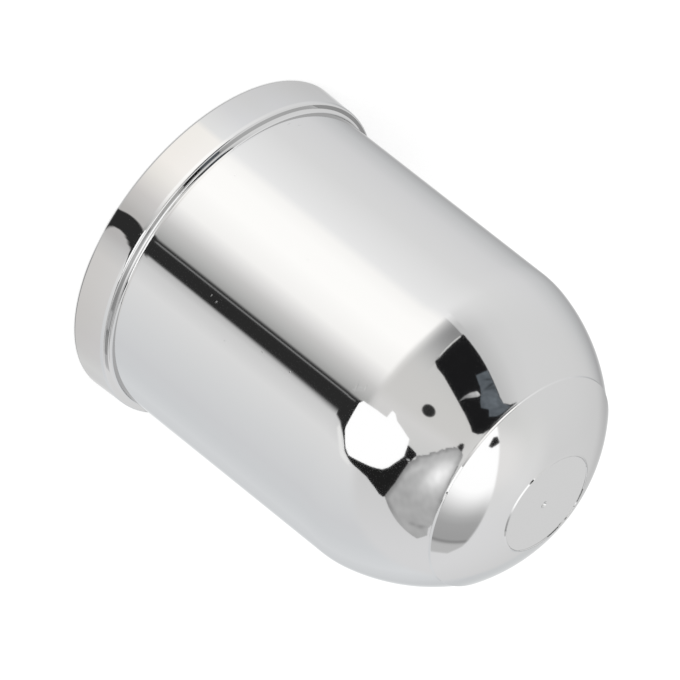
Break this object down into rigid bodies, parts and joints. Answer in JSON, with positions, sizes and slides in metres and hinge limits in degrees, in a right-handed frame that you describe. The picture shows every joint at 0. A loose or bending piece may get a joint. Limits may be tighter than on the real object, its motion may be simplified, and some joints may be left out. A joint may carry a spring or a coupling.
{
  "type": "tow ball cover",
  "caption": "Round domed cap that slips over a 50 mm tow ball, with a flared collar at its open mouth and a stepped nose.",
  "frame": {"origin": "middle of the open rim, in the rim's plane", "axes": "+Z along the cap's axis, from the open rim to the nose"},
  "size_m": [0.0582, 0.0582, 0.074],
  "materials": {
    "chrome_plated_abs": "bright decorative chrome plating on a smooth moulding"
  },
  "bodies": {
    "root": {"ball_cover": "chrome_plated_abs"}
  },
  "joints": []
}
